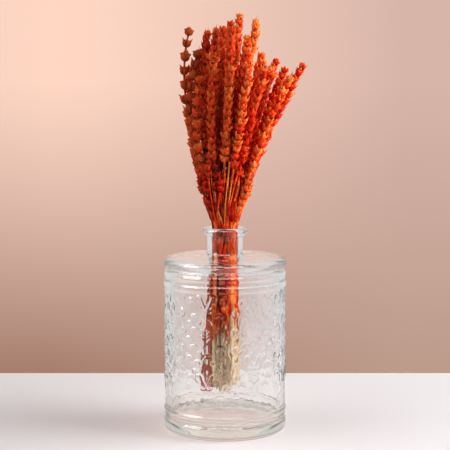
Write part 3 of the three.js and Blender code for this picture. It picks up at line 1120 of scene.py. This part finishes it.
def side_stem(stem, draw, reach):
    end = stem.between(reach, reach + SIDE_STEM_REACH_VARIES, draw)
    if stem.outward.x > 0.45:
        end = min(end, RIGHT_SIDE_STEMS_END)
    outward = math.atan2(stem.outward.y, stem.outward.x)
    beside = outward + math.radians(stem.between(95, 265, draw + 1))
    drift = stem.between(-SIDE_STEM_DRIFT, SIDE_STEM_DRIFT, draw + 2)
    along_rim = Vector((-math.sin(outward), math.cos(outward), 0))
    away = Vector((math.cos(outward), math.sin(outward), 0))
    out = 3.4 if stem.outward.x < 0.4 else 0.6
    path = []
    z = stem.foot + stem.between(0, 10, draw + 3)
    while z < end:
        free = max(0, (PINCH_BOTTOM - z) / 110)
        wander = beside + 2.2 * math.sin(z / 23 + stem.between(0, 6, draw + 4)) * min(1, 3 * free)
        gap = SIDE_STEM_GAP + 1.2 * free
        centre = stem.centre(z) + Vector((math.cos(wander), math.sin(wander), 0)) * gap
        above = max(0, z - PINCH_TOP - 4) / (end - PINCH_TOP)
        centre += along_rim * drift * above**1.3
        centre += away * out * math.sin(min(1, 1.6 * above) * math.pi / 2)
        path.append((centre, SIDE_STEM_RADIUS * (1.1 - 0.35 * above)))
        z += 1.4 * STEM_STEP
    tone = stem.between(0.25, 0.95, draw + 5) + 0.1 * (stem.outward.y < -0.2)
    grown = [dyed_and_shaded_along(stem_mesh("side_stem", path), stem, tone, 0.5)]
    if stem.outward.x < SIDE_CUPS_LEFT_OF and stem.chance(draw + 6) < SIDE_CUPS_SHARE:
        last = path[-1][0]
        turn = stem.between(0, 6, draw + 7)
        for n in range(2):
            base, radius = last.z - 4 + 5 * n, 3.1 - 0.5 * n
            small_cup = cup_on(
                stem, base, radius, SIDE_CUP_HEIGHT, turn + 0.8 * n, 0.0, min(tone, SIDE_CUP_TONE)
            )
            small_cup.data.transform(Matrix.Translation((last - stem.centre(last.z)) * MM))
            grown.append(small_cup)
    return grown


# Low growth: narrow leaves and small cups inside the vase, slanting leaves in its neck, leaves and
# dark open cups just above the lip, and broad dark leaves in the gaps between the inner stems.
LOW_LEAVES = 9
FADED_LEAVES = 0.25
LIP_LEAVES = 4
NECK_STROKES = 3
LOW_CUPS = 3
RIM_CUPS = 3
RIM_CUPS_LEFT_OF = -0.3
OPEN_RIM_CUPS_ABOVE = 197.0
GAP_LEAVES = 4


def leaves_in_vase(stem, count):
    highest = PINCH_BOTTOM - 12
    for n in range(count):
        z = stem.foot + 4 + (highest - stem.foot) * (n + stem.chance(170 + n)) / LOW_LEAVES
        turn = outward_turn(stem, z) + stem.between(-1.3, 1.3, 190 + n)
        length = stem.between(11, 25, 210 + n)
        width = stem.between(1.6, 3.4, 230 + n)
        tone = stem.between(0.22, 0.77, 250 + n) + 0.8 * vase_tone(stem)
        undyed = float(straw_share(stem, z))
        if stem.chance(290 + n) < FADED_LEAVES:
            undyed = max(undyed, 0.5)
        if z + length < PINCH_BOTTOM:
            yield leaf_on(stem, z, turn, stem.between(2, 11, 270 + n), length, width, tone, undyed)


def leaves_above_lip(stem):
    for n in range(LIP_LEAVES + round(4 * abs(stem.outward.x))):
        z = PINCH_TOP + stem.between(5, 35, 300 + n)
        turn = outward_turn(stem, z) + stem.between(-0.9, 0.9, 310 + n)
        length = stem.between(12, 25, 320 + n)
        width = stem.between(2.2, 5.6, 330 + n)
        # Leaves on the right are lighter: painted light on the side the window light falls on.
        tone = stem.between(0.05, 0.5, 340 + n) + 0.7 * max(0, stem.outward.x)
        tilt = stem.between(3, 9 if stem.outward.x < 0.5 else 5, 350 + n)
        yield leaf_on(stem, z, turn, tilt, length, width, tone)


def strokes_in_neck(stem):
    for n in range(NECK_STROKES if stem.outward.y < 0.1 else 0):
        z = stem.between(139, 148, 470 + n)
        slant = stem.between(8, 19, 480 + n) * (1 if stem.chance(490 + n) < 0.5 else -1)
        tone = stem.between(0.15, 0.75, 500 + n)
        yield leaf_on(stem, z, outward_turn(stem, z), -2, 17, 2.2, tone, slant_deg=slant)


def cups_in_vase(stem):
    for n in range(LOW_CUPS):
        z = 24 * n + stem.between(66, 82, 360 + n)
        if straw_share(stem, z) < 0.5:
            tone = stem.between(0.3, 0.9, 370 + n)
            yield cup_on(stem, z, 2.5, 6.5, stem.between(0, 6, 380 + n), 0.25, tone)


def rim_cups(stem):
    for n in range(RIM_CUPS if stem.outward.x < RIM_CUPS_LEFT_OF else 0):
        z = PINCH_TOP + stem.between(16, 50, 390 + n)
        tone = stem.between(0.02, 0.28, 395 + n)
        closing, lean = (-0.2, 18) if z > OPEN_RIM_CUPS_ABOVE else (0.2, 6)
        yield cup_on(stem, z, 4.2, 9, stem.between(0, 6, 397 + n), closing, tone, lean_deg=lean)


def leaves_in_gaps(stem):
    for n in range(GAP_LEAVES):
        z = stem.between(184, 228, 430 + n)
        tone = stem.between(0.02, 0.32, 450 + n)
        yield leaf_on(stem, z, stem.between(0, 6.28, 440 + n), stem.between(4, 14, 460 + n), 18, 5.5, tone)


def low_growth(stem):
    if stem.ring == len(STEMS_IN_RING) - 1:
        grown = [*leaves_in_vase(stem, LOW_LEAVES), *leaves_above_lip(stem), *strokes_in_neck(stem)]
        grown += [*cups_in_vase(stem), *rim_cups(stem)]
    else:
        grown = [*leaves_in_vase(stem, LOW_LEAVES // 2), *leaves_in_gaps(stem)]
    for n, reach in enumerate(SIDE_STEM_REACHES if stem.ring else []):
        grown += side_stem(stem, 400 + 20 * n, reach)
    return grown


# A spike: a stem with its low growth and its cups. A few loose cups stand below the flowering part,
# and a closed bud ends it, except on one spike that bends its open last cup towards the viewer.
LEAST_CUP_RADIUS = 3.7
SPACED_CUP_RADIUS = 4.0
CLOSE_CUP_FLARE = 0.12
CLOSE_CUP_STRETCH = 1.13
CLOSING_AT_TIP = [0.2, 0.1, 0.0]
CUP_LEAN_DEG = 12.0
LOOSE_CUPS = 4
LOOSE_CUPS_IN_FRONT = 1
LOOSE_PITCH = 7.2
LOOSE_CUP_RADIUS = 3.5
LOWEST_CUP = 176.0
STEM_TONE = 0.38
RIGHT_STEMS_PAINTED_LIGHT = 0.14
STEM_TONE_VARIES = 0.2
STEM_OVER_CUPS_TONE = 0.14
CUP_TONE_VARIES = 0.15
TOP_RIGHT_PAINTED_LIGHT = 0.26
LOW_CUP_SHADE = 0.12
LOW_CUPS_BELOW = 214.0
SHADED_LEFT_OF = -0.15
DARK_SPIKE = (3, 10)
DARK_SPIKE_TONE = 0.16
FACES_VIEWER = (3, 12)
FACING_CUP_RADIUS = 4.6
FACING_CUP_LEAN_DEG = -42.0


def with_loose_cups(stem, cups):
    standing = list(cups)
    base = stem.flowering_from - 4
    in_front = stem.outward.y < -0.35 and abs(stem.outward.x) < 0.55
    for n in range(LOOSE_CUPS_IN_FRONT if in_front else LOOSE_CUPS):
        base -= LOOSE_PITCH * (1 + 0.25 * n + 0.5 * stem.chance(140 + n))
        radius = LOOSE_CUP_RADIUS * stem.between(0.9, 1.1, 150 + n)
        if base > LOWEST_CUP:
            standing.insert(0, (base, radius, radius * CUP_HEIGHT_TO_RADIUS))
    return standing


def finished_spike(stem):
    cups = cups_of(stem)
    standing = with_loose_cups(stem, cups)
    turn = stem.between(0, 2 * math.pi, 2)
    # Stems towards the right are lighter: painted light on the side the window light falls on.
    leaning_right = 0.5 + 0.5 * stem.outward.x
    stem_tone = STEM_TONE + RIGHT_STEMS_PAINTED_LIGHT * leaning_right + STEM_TONE_VARIES * stem.chance(3)
    if stem.seat == DARK_SPIKE:
        stem_tone = DARK_SPIKE_TONE
    bare_tone = stem_tone + STEM_OVER_CUPS_TONE + 0.08 * (stem.outward.y < -0.2)
    pieces = [dyed_and_shaded_along(dyed_stem(stem, cups), stem, bare_tone, 0.3)]
    pieces += low_growth(stem)
    for n, (base, radius, height) in enumerate(standing):
        from_tip = len(standing) - 1 - n
        turn += math.pi / 2 + stem.between(-0.25, 0.25, 50 + n)
        model = broad_cup
        if stem.spaced:
            width = max(radius, SPACED_CUP_RADIUS)
            closing = stem.between(-0.04, 0.02, 80 + n)
        else:
            width = max(radius, LEAST_CUP_RADIUS)
            closing = stem.between(-0.1, 0.1, 80 + n) + CLOSING_AT_TIP[min(from_tip, 2)]
        if not stem.spaced and base > stem.flowering_from - 6:
            closing -= CLOSE_CUP_FLARE
            width /= 1 + CLOSE_CUP_FLARE
            model = rough_cup
            if from_tip > 0:
                height *= CLOSE_CUP_STRETCH
        tone = stem_tone + stem.between(-CUP_TONE_VARIES, CUP_TONE_VARIES, 110 + n)
        # Cups high up in the middle and on the right are lighter: painted light where the lamps fall.
        tone += TOP_RIGHT_PAINTED_LIGHT * ramp(base, 268, 318) * ramp(stem.outward.x, -0.35, 0.15)
        if base < LOW_CUPS_BELOW and stem.outward.x < SHADED_LEFT_OF:
            tone -= LOW_CUP_SHADE
        lean = stem.between(-CUP_LEAN_DEG, CUP_LEAN_DEG, 600 + n)
        if from_tip == 0 and stem.seat == FACES_VIEWER:
            base, width, closing = base + 1.5, FACING_CUP_RADIUS, -0.15
            turn, lean = 0.2 * math.pi, FACING_CUP_LEAN_DEG
        pieces.append(cup_on(stem, base, width, height, turn, closing, tone, model, lean))
    if stem.seat != FACES_VIEWER:
        base, radius, height = cups[-1]
        bud = cup_on(stem, base + 0.42 * height, 0.5 * radius, 0.66 * height, turn, 0.75, stem_tone)
        pieces.append(bud)
    return joined(pieces)


# The dyed plant: dark red to orange by its tone, with fine fibres. Its cups and leaves are darker at their
# bases, which is painted shade, and tan at their tips. It is browner in patches, where it has faded at the
# left and at the foot, and in the neck, where the browning is painted shade.
DYE_BROWN = (0.44, 0.085, 0.012)
ORANGE_STOPS = [
    (0.0, (0.10, 0.001, 0.001)),
    (0.28, (0.30, 0.006, 0.001)),
    (0.5, (0.62, 0.015, 0.002)),
    (0.72, (0.88, 0.068, 0.009)),
    (1.0, (0.96, 0.300, 0.060)),
]
STRAW_STOPS = [(0.25, (0.32, 0.20, 0.11)), (0.75, (0.82, 0.66, 0.43))]
BLOTCHES_PER_METRE = 340.0
FIBRES_PER_METRE = 1700.0
PATCHES_PER_METRE = 60.0
FIBRE_STRETCH = 0.12
BLOTCHINESS = 0.7
FLOWER_LIGHT = 0.06
TIP_TONE_AND_BASE_SHADE = 0.42
PATCH_EDGE = 0.54
PATCH_SHARPNESS = 6.0
PATCH_BROWN = 0.4
FIBRE_RELIEF = 0.35
FIBRE_DEPTH = 0.3 * MM
PLANT_ROUGHNESS = 0.8
PLANT_SHINE = 0.05
LEFTMOST_FADING = 0.6
LEFT_FADING = 0.45
FADED_LEFT_OF = -0.15
NECK_BROWN_SHADE = 0.45
NECK_SHADED_STEMS_SHARE = 0.7
FOOT_FADING = 0.6

dye = Finish(bpy.data.materials.new("dyed_dried_plant"))
tone, toward_tip, flower, undyed, faded = (
    dye.node("Attribute", {"attribute_name": mark}, output="Fac")
    for mark in ("tone", "toward_tip", "flower", "undyed", "faded")
)
place = dye.node("TexCoord", output="Object")
blotches = dye.node("TexNoise", None, {"Vector": place, "Scale": BLOTCHES_PER_METRE, "Detail": 3.0})
fibre_place = dye.node("Mapping", None, {"Vector": place, "Scale": (1.0, 1.0, FIBRE_STRETCH)})
fibres = dye.node("TexNoise", None, {"Vector": fibre_place, "Scale": FIBRES_PER_METRE, "Detail": 2.0})
patches = dye.node("TexNoise", None, {"Vector": place, "Scale": PATCHES_PER_METRE, "Detail": 1.0})
# Cups and leaves are darker at their bases, painted shade, and lighter towards their tips.
shade = tone + (blotches - 0.5) * BLOTCHINESS + flower * FLOWER_LIGHT
shade = (shade + (toward_tip - 0.5) * TIP_TONE_AND_BASE_SHADE).held()
straw_shade = (blotches * 0.4 + fibres * 0.3 + (tone - 0.5) * 0.5 + 0.17).held()
orange = dye.node("ValToRGB", {"stops": ORANGE_STOPS}, {"Fac": shade})
straw = dye.node("ValToRGB", {"stops": STRAW_STOPS}, {"Fac": straw_shade})
brown_share = ((patches - PATCH_EDGE) * PATCH_SHARPNESS).held() * PATCH_BROWN + faded
browned = dye.mix(brown_share.held(), orange, DYE_BROWN)
relief = dye.node("Bump", None, {"Height": fibres, "Strength": FIBRE_RELIEF, "Distance": FIBRE_DEPTH})
spike_material = dye.show(
    dye.node(
        "BsdfPrincipled",
        None,
        {
            "Base Color": dye.mix(undyed, browned, straw),
            "Roughness": PLANT_ROUGHNESS,
            "Specular IOR Level": PLANT_SHINE,
            "Normal": relief,
        },
    )
)

for stem in stems:
    spike = finished_spike(stem)
    heights = heights_of(spike) / MM
    # In the neck the browning is painted shade; at the left and at the foot it is faded dye.
    in_neck = ramp(abs(heights - 153), 12, 8) * (stem.chance(8) < NECK_SHADED_STEMS_SHARE)
    left_fading = LEFT_FADING * stem.chance(7) * (stem.outward.x < FADED_LEFT_OF)
    if stem.leftmost:
        left_fading = LEFTMOST_FADING
    fading_and_neck_shade = np.maximum(left_fading * ramp(heights, 205, 220), NECK_BROWN_SHADE * in_neck)
    marked(spike, faded=np.maximum(fading_and_neck_shade, FOOT_FADING * ramp(heights, 105, 80)))
    spike.name = f"ironwort_{stem.index + 1:02d}"
    spike.data.materials.clear()
    spike.data.materials.append(spike_material)
    for face in spike.data.polygons:
        face.use_smooth = True
    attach(spike, "root")
    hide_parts(f"ironwort_spike_{stem.index + 1:02d}")
for model in (bract, calyx, broad_cup, rough_cup, leaf, square_stem):
    bpy.data.objects.remove(model)
